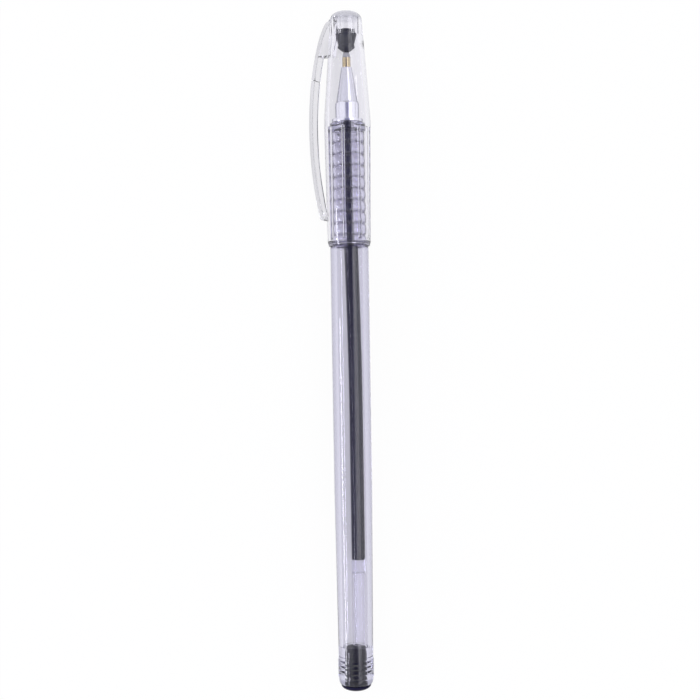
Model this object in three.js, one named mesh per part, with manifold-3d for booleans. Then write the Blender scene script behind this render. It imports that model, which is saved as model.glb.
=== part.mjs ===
// A capped stick pen with a gel refill: clear barrel, metal nose cone, clear cap with a sprung clip.
// Millimetres. The pen lies on its side on z = 0, with its axis along Y and the cap's crown at +Y.
// Inside each function y runs along the pen from the tail end, and x is the distance from its axis.
import * as THREE from "three";
import { mergeVertices } from "three/addons/utils/BufferGeometryUtils.js";
import Module from "manifold-3d";

const wasm = await Module();
wasm.setup();

// Gaps between neighbouring pieces.
const SEAT_GAP = 0.15;
const FIT_GAP = 0.06;
const INK_GAP = 0.04;

// Tail plug.
const PLUG_HEAD_RADIUS = 3.3;
const PLUG_HEAD_HEIGHT = 1.4;
const PLUG_STEM_RADIUS = 2.42;
const PLUG_STEM_LENGTH = 8.2;
const PLUG_LEAD_LENGTH = 0.9;
const PLUG_LEAD_DEPTH = 0.2;

// Barrel.
const BODY_RADIUS = 4.2;
const BODY_LENGTH = 95.8;
const BODY_WAIST_RADIUS = 4.14;
const BODY_WAIST_LENGTH = 42.5;
const TAIL_RADIUS = 3.78;
const TAIL_ROUND_LENGTH = 1.4;
const TAIL_RING_COUNT = 4;
const TAIL_RING_PITCH = 1.05;
const TAIL_RING_WIDTH = 0.5;
const TAIL_RING_HEIGHT = 0.1;
const BORE_RADIUS = 2.85;
const SHOULDER_STEP = 0.36;
const GRIP_LENGTH = 25.2;
const GRIP_TAPER = 0.16;
const GRIP_ROW_COUNT = 10;
const GRIP_ROW_DEPTH = 0.14;
const GRIP_VALLEY_SHARE = 0.17;
const COLLAR_LENGTH = 1.95;
const COLLAR_STEP = 0.24;
const COLLAR_WALL = 1.1;
const BORE_TAPER_LENGTH = 1.2;
const SPIGOT_LENGTH = 3.2;
const SPIGOT_WALL = 0.52;

// Metal nose cone.
const NOSE_FLANGE_RIM = 0.8;
const NOSE_FLANGE_THICKNESS = 0.65;
const NOSE_CYLINDER_LENGTH = 3.45;
const NOSE_WALL = 0.45;
const NOSE_STEP = 0.24;
const NOSE_STEP_LENGTH = 0.25;
const NOSE_CONE_LENGTH = 7.7;
const NOSE_FRONT_WALL = 0.17;

// Refill: writing tip, tip holder, tube, ink and follower.
const BALL_RADIUS = 0.35;
const BALL_GAP = 0.02;
const BALL_PROUD = 0.62;
const TIP_RADIUS = 0.9;
const TIP_EXPOSED_LENGTH = 2.2;
const TIP_CONE_LENGTH = 1.8;
const TIP_RIM_WALL = 0.08;
const TIP_SHANK_RADIUS = 0.7;
const TIP_SHANK_LENGTH = 4;
const TIP_CHANNEL_RADIUS = 0.25;
const TIP_INLET_RADIUS = 0.12;
const TIP_INLET_LENGTH = 0.6;
const HOLDER_RADIUS = 1.43;
const HOLDER_FRONT_RADIUS = 1.05;
const HOLDER_LENGTH = 33.9;
const HOLDER_SPIGOT_LENGTH = 1.4;
const HOLDER_BORE_RADIUS = 0.55;
const TUBE_RADIUS = 1.57;
const TUBE_WALL = 0.37;
const INK_LENGTH = 68.6;
const FOLLOWER_LENGTH = 2.9;
const REFILL_END_PLAY = 0.3;
const LEAN_LENGTH = 61;
const LEAN_BELOW_LEVEL = THREE.MathUtils.degToRad(38);
const WALL_REST_GAP = 0.05;

// Cap.
const CAP_LIP_LENGTH = 0.9;
const CAP_LIP_TAPER = 0.27;
const CAP_MOUTH_WALL = 0.49;
const CAP_SHOULDER_WALL = 0.7;
const CAP_FLARE = 0.18;
const CAP_STEP_DEPTH = 0.25;
const CAP_ROUND_LENGTH = 4.8;
const CAP_ROUND_DROP = 0.22;
const CAP_CONE_WALL = 0.85;
const CAP_GRIP_RIB_COUNT = 8;
const CAP_GRIP_RIB_HEIGHT = 0.25;
const CAP_GRIP_RIB_WIDTH = 0.6;
const CAP_GRIP_RIB_MARGIN = 1.4;
const CAP_GRIP_RIB_PHASE = THREE.MathUtils.degToRad(32.5);
const CROWN_WALL = 1.4;
const CROWN_ROUND_LENGTH = 1.9;
const CROWN_LAND_RADIUS = 1.3;
const CROWN_HEADROOM = 2.05;
const CROWN_RIB_COUNT = 6;
const CROWN_RIB_HEIGHT = 0.4;
const CROWN_RIB_WIDTH = 0.6;
const CROWN_RIB_GRIP = 1.2;
const SOCKET_WALL = 0.75;
const SOCKET_ROUND = 0.5;
const CUT_PASS = 1;

// Black seal that closes the writing tip inside the cap.
const SEAL_RADIUS = 2.3;
const SEAL_BAND_LENGTH = 1.2;
const SEAL_TOP_RADIUS = 1.6;
const SEAL_TOP_CHAMFER = 0.6;
const SEAL_WAIST_RADIUS = 1.73;
const SEAL_WAIST_LENGTH = 2;
const SEAL_SKIRT_RADIUS = 1.92;
const SEAL_SKIRT_LENGTH = 0.7;
const SEAL_NOSE_LENGTH = 0.8;
const SEAL_NOSE_LAND = 0.15;
const SEAL_HEADROOM = 0.3;
const SEAL_TIP_GAP = 0.12;

// Clip.
const CLIP_THICKNESS = 0.83;
const CLIP_WIDTH = 2.9;
const CLIP_FOOT_WIDTH = 2.8;
const CLIP_ROOT_LENGTH = 7.4;
const CLIP_STUB_LENGTH = 12.5;
const CLIP_LENGTH = 42.9;
const CLIP_ARCH_START = new THREE.Vector2(2.5, 0.4);
const CLIP_ARCH_PEAK = new THREE.Vector2(8.2, 20);
const CLIP_FOOT_RADIUS = 0.75;
const CLIP_FOOT_GAP = 0.2;
const CLIP_PARTING = 0.12;
const CLIP_EMBED_GAP = 0.19;

// Fineness of round shapes.
const ROUND_SIDES = 32;
const SMALL_SIDES = 20;
const ARC_STEPS = 5;
const CLIP_STEPS = 14;
const BALL_RINGS = 10;
const LEAN_STEP = 6.1;

// Stations along the axis, each worked out from the one before.
const PLUG_FRONT = PLUG_HEAD_HEIGHT + PLUG_STEM_LENGTH;
const TAIL_END = PLUG_HEAD_HEIGHT + SEAT_GAP;
const TAIL_RINGS_START = TAIL_END + TAIL_ROUND_LENGTH;
const TAIL_RINGS_END = TAIL_RINGS_START + TAIL_RING_COUNT * TAIL_RING_PITCH;
const BORE_END = PLUG_FRONT + SEAT_GAP;
const SHOULDER = TAIL_END + BODY_LENGTH;
const COLLAR_REAR = SHOULDER + GRIP_LENGTH;
const COLLAR_FRONT = COLLAR_REAR + COLLAR_LENGTH;
const SPIGOT_END = COLLAR_FRONT + SPIGOT_LENGTH;
const NOSE_REAR = COLLAR_FRONT + SEAT_GAP;
const NOSE_CYLINDER_REAR = NOSE_REAR + NOSE_FLANGE_THICKNESS;
const NOSE_CYLINDER_END = NOSE_CYLINDER_REAR + NOSE_CYLINDER_LENGTH;
const NOSE_CONE_START = NOSE_CYLINDER_END + NOSE_STEP_LENGTH;
const NOSE_FRONT = NOSE_CONE_START + NOSE_CONE_LENGTH;
const TIP_CONE_START = NOSE_FRONT + TIP_EXPOSED_LENGTH;
const TIP_RIM = TIP_CONE_START + TIP_CONE_LENGTH;
const BALL_CENTRE = TIP_RIM - BALL_RADIUS * (1 - BALL_PROUD);
const BALL_FRONT = BALL_CENTRE + BALL_RADIUS;

// Radii that follow from what fits in what.
const GRIP_REAR_RADIUS = BODY_RADIUS - SHOULDER_STEP;
const GRIP_FRONT_RADIUS = GRIP_REAR_RADIUS - GRIP_TAPER;
const COLLAR_RADIUS = GRIP_FRONT_RADIUS + COLLAR_STEP;
const CAP_RIB_INNER = Math.max(GRIP_REAR_RADIUS, COLLAR_RADIUS) + FIT_GAP;
const SPIGOT_BORE_RADIUS = HOLDER_RADIUS + 2 * FIT_GAP;
const SPIGOT_RADIUS = SPIGOT_BORE_RADIUS + SPIGOT_WALL;
const NOSE_BORE_RADIUS = SPIGOT_RADIUS + FIT_GAP;
const NOSE_CYLINDER_RADIUS = NOSE_BORE_RADIUS + NOSE_WALL;
const NOSE_FLANGE_RADIUS = NOSE_CYLINDER_RADIUS + NOSE_FLANGE_RIM;
const NOSE_CONE_RADIUS = NOSE_CYLINDER_RADIUS - NOSE_STEP;
const NOSE_HOLE_RADIUS = TIP_RADIUS + FIT_GAP;
const NOSE_FRONT_RADIUS = NOSE_HOLE_RADIUS + NOSE_FRONT_WALL;
const TUBE_BORE_RADIUS = TUBE_RADIUS - TUBE_WALL;
const HOLDER_SPIGOT_RADIUS = TUBE_BORE_RADIUS - FIT_GAP;
const LEAN = BORE_RADIUS - TUBE_RADIUS - WALL_REST_GAP;

// The inside of the nose narrows in a straight cone from the spigot to the front hole.
const NOSE_INNER_START = SPIGOT_END + SEAT_GAP;
const NOSE_INNER_SLOPE = (NOSE_BORE_RADIUS - NOSE_HOLE_RADIUS) / (NOSE_FRONT - NOSE_INNER_START);

// The holder stops where the cone's inside has closed down to its own radius.
const HOLDER_SHOULDER = NOSE_INNER_START
  + (NOSE_BORE_RADIUS - HOLDER_RADIUS - FIT_GAP) / NOSE_INNER_SLOPE;
const HOLDER_FRONT = NOSE_INNER_START
  + (NOSE_BORE_RADIUS - HOLDER_FRONT_RADIUS - FIT_GAP) / NOSE_INNER_SLOPE;
const HOLDER_REAR = HOLDER_SHOULDER - HOLDER_LENGTH;
const HOLDER_SPIGOT_REAR = HOLDER_REAR - HOLDER_SPIGOT_LENGTH;
const TIP_SHOULDER = HOLDER_FRONT + SEAT_GAP;
const TIP_SHANK_REAR = TIP_SHOULDER - TIP_SHANK_LENGTH;
const TUBE_FRONT = HOLDER_REAR - SEAT_GAP;
const TUBE_REAR = PLUG_FRONT + REFILL_END_PLAY;
const INK_FRONT = TIP_SHANK_REAR - SEAT_GAP;
const INK_STEP = HOLDER_SPIGOT_REAR - SEAT_GAP;
const INK_REAR = INK_STEP - INK_LENGTH;
const FOLLOWER_FRONT = INK_REAR - INK_GAP;
const FOLLOWER_REAR = FOLLOWER_FRONT - FOLLOWER_LENGTH;
const LEAN_START = COLLAR_REAR;
const LEAN_END = LEAN_START - LEAN_LENGTH;

// Seal and cap are placed from the writing ball that the seal closes over.
const SEAL_BOTTOM = BALL_CENTRE - SEAL_HEADROOM;
const SEAL_SKIRT_START = SEAL_BOTTOM + SEAL_NOSE_LENGTH;
const SEAL_WAIST_START = SEAL_SKIRT_START + SEAL_SKIRT_LENGTH;
const SEAL_BAND_START = SEAL_WAIST_START + SEAL_WAIST_LENGTH;
const SEAL_BAND_END = SEAL_BAND_START + SEAL_BAND_LENGTH;
const SEAL_TOP = SEAL_BAND_END + SEAL_TOP_CHAMFER;
const CAP_MOUTH = SHOULDER + SEAT_GAP;
const CAP_LIP_END = CAP_MOUTH + CAP_LIP_LENGTH;
const CAP_STEP = (COLLAR_REAR + COLLAR_FRONT) / 2;
const CAP_CONE_START = CAP_STEP + CAP_ROUND_LENGTH;
const SOCKET_START = SEAL_BOTTOM;
const CEILING = SEAL_TOP + CROWN_HEADROOM;
const CROWN_TOP = CEILING + CROWN_WALL;
const CROWN_ROUND_START = CROWN_TOP - CROWN_ROUND_LENGTH;
const CAP_MOUTH_BORE = CAP_RIB_INNER + CAP_GRIP_RIB_HEIGHT;
const CAP_STEP_BORE = CAP_MOUTH_BORE + CAP_FLARE;
const CAP_UPPER_BORE = CAP_STEP_BORE - CAP_STEP_DEPTH;
const CAP_MOUTH_RADIUS = CAP_MOUTH_BORE + CAP_MOUTH_WALL;
const CAP_RADIUS = CAP_STEP_BORE + CAP_SHOULDER_WALL;
const SOCKET_RADIUS = SEAL_RADIUS + FIT_GAP + CROWN_RIB_HEIGHT;
const CROWN_RADIUS = SOCKET_RADIUS + SOCKET_WALL;
const CLIP_TOP = CROWN_ROUND_START;
const CLIP_SPLIT = CLIP_TOP - CLIP_STUB_LENGTH;
const CLIP_FOOT = CLIP_TOP - CLIP_LENGTH;

// Outer radius of the cap's straight lower part at a station.
function capRadiusBelowStep(y) {
  return THREE.MathUtils.mapLinear(y, CAP_LIP_END, CAP_STEP, CAP_MOUTH_RADIUS, CAP_RADIUS);
}

// Outer radius of the cap's cone at a station.
function capRadiusAboveStep(y) {
  const coneRadius = CAP_RADIUS - CAP_ROUND_DROP;
  return THREE.MathUtils.mapLinear(y, CAP_CONE_START, CROWN_ROUND_START, coneRadius, CROWN_RADIUS);
}

// A quarter of an ellipse between two points, leaving the first one along the axis.
function roundCorner(fromX, fromY, toX, toY) {
  const points = [];
  for (let i = 0; i <= ARC_STEPS; i += 1) {
    const angle = (Math.PI / 2) * (i / ARC_STEPS);
    const x = toX + (fromX - toX) * Math.cos(angle);
    const y = fromY + (toY - fromY) * Math.sin(angle);
    points.push([x, y]);
  }
  return points;
}

// A solid turned about the Y axis. A profile that is off the axis closes on itself.
function turned(profile, sides = ROUND_SIDES) {
  const points = profile.map(([x, y]) => new THREE.Vector2(x, y));
  const onAxis = profile[0][0] === 0;
  if (!onAxis) points.push(points[0].clone());
  if (THREE.ShapeUtils.area(points) < 0) points.reverse();
  return new THREE.LatheGeometry(points, sides);
}

// Straight stretches of a profile, cut so that they can follow the refill's lean.
function stretch(x, fromY, toY, step = LEAN_STEP) {
  const count = Math.max(1, Math.ceil(Math.abs(toY - fromY) / step));
  const points = [];
  for (let i = 0; i <= count; i += 1) points.push([x, fromY + (toY - fromY) * (i / count)]);
  return points;
}

// The refill is held on the axis at the nose and sinks against the bore's wall behind it.
function leanIntoBore(geometry) {
  const position = geometry.getAttribute("position");
  for (let i = 0; i < position.count; i += 1) {
    const share = 1 - THREE.MathUtils.smoothstep(position.getY(i), LEAN_END, LEAN_START);
    position.setX(i, position.getX(i) + LEAN * share * Math.cos(LEAN_BELOW_LEVEL));
    position.setZ(i, position.getZ(i) - LEAN * share * Math.sin(LEAN_BELOW_LEVEL));
  }
  return geometry;
}

// A closed geometry as a solid that can be joined and cut.
function solidOf(geometry) {
  const bare = geometry.clone();
  bare.deleteAttribute("normal");
  bare.deleteAttribute("uv");
  const merged = mergeVertices(bare, 1e-4);
  const corners = merged.index.array;
  const kept = [];
  for (let i = 0; i < corners.length; i += 3) {
    const [a, b, c] = [corners[i], corners[i + 1], corners[i + 2]];
    if (a !== b && b !== c && c !== a) kept.push(a, b, c);
  }
  const vertProperties = new Float32Array(merged.attributes.position.array);
  const triVerts = new Uint32Array(kept);
  return new wasm.Manifold(new wasm.Mesh({ numProp: 3, vertProperties, triVerts }));
}

function geometryOf(solid) {
  const mesh = solid.getMesh();
  const geometry = new THREE.BufferGeometry();
  geometry.setAttribute("position", new THREE.BufferAttribute(mesh.vertProperties, 3));
  geometry.setIndex(new THREE.BufferAttribute(mesh.triVerts, 1));
  geometry.computeVertexNormals();
  return geometry;
}

// A flat shape drawn in x and y, made into a plate centred on z = 0.
function plate(points, thickness) {
  const shape = new THREE.Shape(points.map(([x, y]) => new THREE.Vector2(x, y)));
  const geometry = new THREE.ExtrudeGeometry(shape, { depth: thickness, bevelEnabled: false });
  return geometry.translate(0, 0, -thickness / 2);
}

function named(name, geometry, material) {
  const mesh = new THREE.Mesh(geometry, material);
  mesh.name = name;
  return mesh;
}

// Materials.
const clearPlastic = new THREE.MeshStandardMaterial({
  color: 0xe6e4f2, roughness: 0.08, metalness: 0, transparent: true, opacity: 0.3,
});
const clearCapPlastic = new THREE.MeshStandardMaterial({
  color: 0xf0eff6, roughness: 0.08, metalness: 0, transparent: true, opacity: 0.25,
});
const milkyPlastic = new THREE.MeshStandardMaterial({
  color: 0xdddbe6, roughness: 0.3, metalness: 0, transparent: true, opacity: 0.4,
});
const blackPlastic = new THREE.MeshStandardMaterial({ color: 0x16161c, roughness: 0.35, metalness: 0 });
const sealPlastic = new THREE.MeshStandardMaterial({ color: 0x2c2d36, roughness: 0.5, metalness: 0 });
const chrome = new THREE.MeshStandardMaterial({ color: 0xdfe0ea, roughness: 0.12, metalness: 1 });
const brass = new THREE.MeshStandardMaterial({ color: 0xd9b36a, roughness: 0.2, metalness: 1 });
const ballMetal = new THREE.MeshStandardMaterial({ color: 0x8f9096, roughness: 0.25, metalness: 1 });
const ink = new THREE.MeshStandardMaterial({ color: 0x1a1a22, roughness: 0.3, metalness: 0 });
const grease = new THREE.MeshStandardMaterial({
  color: 0xd8d6dc, roughness: 0.2, metalness: 0, transparent: true, opacity: 0.5,
});

function tailPlug() {
  const dome = roundCorner(PLUG_HEAD_RADIUS, PLUG_HEAD_HEIGHT, 0, 0).reverse();
  const leadRadius = PLUG_STEM_RADIUS - PLUG_LEAD_DEPTH;
  return turned([
    [0, 0],
    ...dome.slice(1),
    [PLUG_STEM_RADIUS, PLUG_HEAD_HEIGHT],
    [PLUG_STEM_RADIUS, PLUG_FRONT - PLUG_LEAD_LENGTH],
    [leadRadius, PLUG_FRONT - PLUG_LEAD_LENGTH],
    [leadRadius, PLUG_FRONT],
    [0, PLUG_FRONT],
  ], ROUND_SIDES);
}

// Raised rings on the tail of the barrel, from the end forward.
function tailRings() {
  const points = [];
  for (let i = 0; i < TAIL_RING_COUNT; i += 1) {
    const middle = TAIL_RINGS_START + TAIL_RING_PITCH * (i + 0.5);
    points.push([TAIL_RADIUS, middle - TAIL_RING_WIDTH / 2]);
    points.push([TAIL_RADIUS + TAIL_RING_HEIGHT, middle]);
    points.push([TAIL_RADIUS, middle + TAIL_RING_WIDTH / 2]);
  }
  return points;
}

// The grip's rows: flat pads with a narrow valley between each row and the next.
function gripRows() {
  const points = [];
  const pitch = GRIP_LENGTH / GRIP_ROW_COUNT;
  const valley = pitch * GRIP_VALLEY_SHARE;
  for (let i = 0; i < GRIP_ROW_COUNT; i += 1) {
    const start = SHOULDER + pitch * i;
    const share = (i + 0.5) / GRIP_ROW_COUNT;
    const radius = GRIP_REAR_RADIUS - GRIP_TAPER * share;
    points.push([radius - GRIP_ROW_DEPTH, start]);
    points.push([radius, start + valley]);
    points.push([radius, start + pitch - valley]);
  }
  points.push([GRIP_FRONT_RADIUS - GRIP_ROW_DEPTH, COLLAR_REAR]);
  return points;
}

function barrel() {
  const plugBore = PLUG_STEM_RADIUS + FIT_GAP;
  const boreFront = COLLAR_FRONT - COLLAR_WALL;
  return turned([
    [plugBore, TAIL_END],
    ...roundCorner(TAIL_RADIUS, TAIL_RINGS_START, PLUG_HEAD_RADIUS, TAIL_END).reverse(),
    ...tailRings(),
    [TAIL_RADIUS, TAIL_RINGS_END],
    [BODY_WAIST_RADIUS, TAIL_END + BODY_WAIST_LENGTH],
    [BODY_RADIUS, SHOULDER],
    ...gripRows(),
    [COLLAR_RADIUS, COLLAR_REAR + COLLAR_STEP],
    [COLLAR_RADIUS, COLLAR_FRONT - COLLAR_STEP],
    [COLLAR_RADIUS - COLLAR_STEP, COLLAR_FRONT],
    [SPIGOT_RADIUS, COLLAR_FRONT],
    [SPIGOT_RADIUS, SPIGOT_END],
    [SPIGOT_BORE_RADIUS, SPIGOT_END],
    [SPIGOT_BORE_RADIUS, boreFront],
    [BORE_RADIUS, boreFront - BORE_TAPER_LENGTH],
    [BORE_RADIUS, BORE_END],
    [plugBore, BORE_END],
  ]);
}

function noseCone() {
  return turned([
    [NOSE_BORE_RADIUS, NOSE_REAR],
    [NOSE_FLANGE_RADIUS, NOSE_REAR],
    [NOSE_FLANGE_RADIUS, NOSE_CYLINDER_REAR],
    [NOSE_CYLINDER_RADIUS, NOSE_CYLINDER_REAR],
    [NOSE_CYLINDER_RADIUS, NOSE_CYLINDER_END],
    [NOSE_CONE_RADIUS, NOSE_CONE_START],
    [NOSE_FRONT_RADIUS, NOSE_FRONT],
    [NOSE_HOLE_RADIUS, NOSE_FRONT],
    [NOSE_BORE_RADIUS, NOSE_INNER_START],
  ]);
}

// The brass tip: its shank sits in the holder, and its cone ends in the ball's socket.
function pointTip() {
  const socketRadius = BALL_RADIUS + BALL_GAP;
  const rimInner = BALL_RADIUS * Math.sqrt(1 - (1 - BALL_PROUD) ** 2) + BALL_GAP / 2;
  const rimOuter = rimInner + TIP_RIM_WALL;
  const seat = BALL_CENTRE - socketRadius;
  return turned([
    [TIP_CHANNEL_RADIUS, TIP_SHANK_REAR],
    [TIP_SHANK_RADIUS, TIP_SHANK_REAR],
    [TIP_SHANK_RADIUS, TIP_SHOULDER],
    [TIP_RADIUS, TIP_SHOULDER],
    [TIP_RADIUS, TIP_CONE_START],
    [rimOuter, TIP_RIM],
    [rimInner, TIP_RIM],
    [socketRadius, BALL_CENTRE],
    [socketRadius, seat],
    [TIP_INLET_RADIUS, seat],
    [TIP_INLET_RADIUS, seat - TIP_INLET_LENGTH],
    [TIP_CHANNEL_RADIUS, seat - TIP_INLET_LENGTH - TIP_CHANNEL_RADIUS],
  ], SMALL_SIDES);
}

function writingBall() {
  const geometry = new THREE.SphereGeometry(BALL_RADIUS, SMALL_SIDES, BALL_RINGS);
  return geometry.translate(0, BALL_CENTRE, 0);
}

function tipHolder() {
  const socket = TIP_SHANK_RADIUS + INK_GAP;
  return leanIntoBore(turned([
    [HOLDER_BORE_RADIUS, HOLDER_SPIGOT_REAR],
    [HOLDER_SPIGOT_RADIUS, HOLDER_SPIGOT_REAR],
    [HOLDER_SPIGOT_RADIUS, HOLDER_REAR],
    ...stretch(HOLDER_RADIUS, HOLDER_REAR, HOLDER_SHOULDER),
    [HOLDER_FRONT_RADIUS, HOLDER_FRONT],
    [socket, HOLDER_FRONT],
    [socket, INK_FRONT],
    ...stretch(HOLDER_BORE_RADIUS, INK_FRONT, HOLDER_REAR),
  ], SMALL_SIDES));
}

function refillTube() {
  return leanIntoBore(turned([
    ...stretch(TUBE_RADIUS, TUBE_REAR, TUBE_FRONT),
    ...stretch(TUBE_BORE_RADIUS, TUBE_FRONT, TUBE_REAR),
  ], SMALL_SIDES));
}

function inkColumn() {
  const tubeRadius = TUBE_BORE_RADIUS - INK_GAP;
  const stemRadius = HOLDER_BORE_RADIUS - INK_GAP;
  return leanIntoBore(turned([
    [0, INK_REAR],
    ...stretch(tubeRadius, INK_REAR, INK_STEP),
    ...stretch(stemRadius, INK_STEP, INK_FRONT),
    [0, INK_FRONT],
  ], SMALL_SIDES));
}

function inkFollower() {
  const radius = TUBE_BORE_RADIUS - INK_GAP;
  return leanIntoBore(turned([
    [0, FOLLOWER_REAR],
    [radius, FOLLOWER_REAR],
    [radius, FOLLOWER_FRONT],
    [0, FOLLOWER_FRONT],
  ], SMALL_SIDES));
}

// A black cup with a grooved waist, whose conical pocket closes over the writing ball.
function capSeal() {
  const pocketMouth = BALL_RADIUS + TIP_RIM_WALL + 2 * SEAL_TIP_GAP;
  const pocketEnd = BALL_FRONT + SEAL_TIP_GAP;
  return turned([
    [0, pocketEnd],
    [BALL_RADIUS, pocketEnd],
    [pocketMouth, TIP_RIM],
    [pocketMouth + SEAL_TIP_GAP, SEAL_BOTTOM],
    [pocketMouth + SEAL_TIP_GAP + SEAL_NOSE_LAND, SEAL_BOTTOM],
    [SEAL_SKIRT_RADIUS, SEAL_SKIRT_START],
    [SEAL_WAIST_RADIUS, SEAL_WAIST_START],
    [SEAL_RADIUS, SEAL_BAND_START],
    [SEAL_RADIUS, SEAL_BAND_END],
    [SEAL_TOP_RADIUS, SEAL_TOP],
    [0, SEAL_TOP],
  ], SMALL_SIDES);
}

// The clip's outer line, from its root at the crown down to its foot.
function clipLine() {
  const footX = capRadiusBelowStep(CLIP_FOOT) + CLIP_FOOT_GAP + 2 * CLIP_FOOT_RADIUS;
  const start = new THREE.Vector2(CROWN_RADIUS + CLIP_FOOT_GAP, CLIP_TOP);
  const end = new THREE.Vector2(footX, CLIP_FOOT);
  const leave = new THREE.Vector2(start.x + CLIP_ARCH_START.x, CLIP_TOP - CLIP_ARCH_START.y);
  const arrive = new THREE.Vector2(start.x + CLIP_ARCH_PEAK.x, CLIP_TOP - CLIP_ARCH_PEAK.y);
  return new THREE.CubicBezierCurve(start, leave, arrive, end);
}

// The share of the clip's line at which it reaches a station.
function shareAt(line, y) {
  let low = 0;
  let high = 1;
  while (high - low > 1e-6) {
    const middle = (low + high) / 2;
    if (line.getPoint(middle).y > y) low = middle;
    else high = middle;
  }
  return low;
}

// Points on the clip's line, set inward by a depth, between two shares of it.
function clipFace(line, from, to, depth) {
  const points = [];
  for (let i = 0; i <= CLIP_STEPS; i += 1) {
    const share = from + (to - from) * (i / CLIP_STEPS);
    const point = line.getPoint(share);
    const along = line.getTangent(share);
    points.push([point.x + along.y * depth, point.y - along.x * depth]);
  }
  return points;
}

// The clip's root: a web on the cap's side, and the short stub that the arm springs from.
function clipRoot() {
  const line = clipLine();
  const split = shareAt(line, CLIP_SPLIT);
  const webEnd = CLIP_TOP - CLIP_ROOT_LENGTH;
  const embed = SOCKET_RADIUS + CLIP_EMBED_GAP;
  const outer = clipFace(line, 0, split, 0);
  const inner = clipFace(line, shareAt(line, webEnd), split, CLIP_THICKNESS).reverse();
  const outline = [
    [embed, CLIP_TOP + CLIP_THICKNESS / 2],
    [CROWN_RADIUS, CLIP_TOP + CLIP_THICKNESS / 2],
    ...outer,
    ...inner,
    [embed + CLIP_THICKNESS, webEnd - CLIP_THICKNESS],
    [embed, webEnd - CLIP_THICKNESS],
  ];
  return solidOf(plate(outline, CLIP_WIDTH));
}

// The sprung arm of the clip, with a rounded foot that rests against the cap.
function pocketClip() {
  const line = clipLine();
  const from = shareAt(line, CLIP_SPLIT - CLIP_PARTING);
  const outer = clipFace(line, from, 1, 0);
  const inner = clipFace(line, from, 1, CLIP_THICKNESS).reverse();
  const footX = capRadiusBelowStep(CLIP_FOOT) + CLIP_FOOT_GAP + CLIP_FOOT_RADIUS;
  const foot = new THREE.CylinderGeometry(CLIP_FOOT_RADIUS, CLIP_FOOT_RADIUS, CLIP_WIDTH, SMALL_SIDES);
  foot.rotateX(Math.PI / 2);
  foot.translate(footX, CLIP_FOOT, 0);
  const strip = solidOf(plate([...outer, ...inner], CLIP_WIDTH));
  return solidOf(foot).add(strip).intersect(clipTaper());
}

// A wedge that narrows the clip from the root to the foot.
function clipTaper() {
  const reach = CAP_RADIUS + CLIP_ARCH_PEAK.x;
  const below = CLIP_FOOT - 2 * CLIP_FOOT_RADIUS;
  const wedge = plate([
    [-CLIP_WIDTH / 2, CLIP_TOP],
    [-CLIP_WIDTH / 2, CLIP_SPLIT],
    [-CLIP_FOOT_WIDTH / 2, below],
    [CLIP_FOOT_WIDTH / 2, below],
    [CLIP_WIDTH / 2, CLIP_SPLIT],
    [CLIP_WIDTH / 2, CLIP_TOP],
  ], 2 * reach);
  return solidOf(wedge.rotateY(Math.PI / 2));
}

// The cap's outside, closed down to the axis.
function capOutside() {
  const coneRadius = CAP_RADIUS - CAP_ROUND_DROP;
  const shoulder = new THREE.QuadraticBezierCurve(
    new THREE.Vector2(CAP_RADIUS, CAP_STEP),
    new THREE.Vector2(CAP_RADIUS, CAP_STEP + CAP_ROUND_LENGTH / 2),
    new THREE.Vector2(coneRadius, CAP_CONE_START),
  );
  return solidOf(turned([
    [0, CAP_MOUTH],
    [CAP_MOUTH_RADIUS - CAP_LIP_TAPER, CAP_MOUTH],
    [CAP_MOUTH_RADIUS, CAP_LIP_END],
    ...shoulder.getPoints(ARC_STEPS).map((point) => [point.x, point.y]),
    ...roundCorner(CROWN_RADIUS, CROWN_ROUND_START, CROWN_LAND_RADIUS, CROWN_TOP),
    [0, CROWN_TOP],
  ]));
}

// The cap's hollow: the straight sleeve over the grip, the cone and the seal's socket.
function capInside() {
  const mouthward = CAP_MOUTH - CUT_PASS;
  const socketMouth = capRadiusAboveStep(SOCKET_START) - CAP_CONE_WALL;
  return solidOf(turned([
    [0, mouthward],
    [CAP_MOUTH_BORE, mouthward],
    [CAP_MOUTH_BORE, CAP_MOUTH],
    [CAP_STEP_BORE, CAP_STEP],
    [CAP_UPPER_BORE, CAP_STEP],
    [Math.min(CAP_UPPER_BORE, capRadiusAboveStep(CAP_CONE_START) - CAP_CONE_WALL), CAP_CONE_START],
    [socketMouth, SOCKET_START],
    [SOCKET_RADIUS, SOCKET_START + SOCKET_ROUND],
    [SOCKET_RADIUS, CEILING],
    [0, CEILING],
  ]));
}

// One rib inside the cap, from its inner edge out into the wall, turned round the axis.
function capRib(innerX, outerX, fromY, toY, width, angle) {
  const bevel = width / 2;
  const rib = plate([
    [innerX, fromY + bevel],
    [outerX, fromY],
    [outerX, toY],
    [innerX, toY - bevel],
  ], width);
  return solidOf(rib.rotateY(angle));
}

function capRibs() {
  const ribs = [];
  const gripOuter = CAP_MOUTH_BORE + CAP_MOUTH_WALL / 2;
  for (let i = 0; i < CAP_GRIP_RIB_COUNT; i += 1) {
    const angle = CAP_GRIP_RIB_PHASE + (i * 2 * Math.PI) / CAP_GRIP_RIB_COUNT;
    const from = CAP_MOUTH + CAP_GRIP_RIB_MARGIN;
    ribs.push(capRib(CAP_RIB_INNER, gripOuter, from, CAP_STEP, CAP_GRIP_RIB_WIDTH, angle));
  }
  const crownInner = SEAL_RADIUS + FIT_GAP;
  const crownOuter = SOCKET_RADIUS + SOCKET_WALL / 2;
  for (let i = 0; i < CROWN_RIB_COUNT; i += 1) {
    const angle = (i * 2 * Math.PI) / CROWN_RIB_COUNT;
    const from = SEAL_BAND_END - CROWN_RIB_GRIP;
    ribs.push(capRib(crownInner, crownOuter, from, CEILING + CROWN_WALL / 2, CROWN_RIB_WIDTH, angle));
  }
  return ribs;
}

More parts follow.
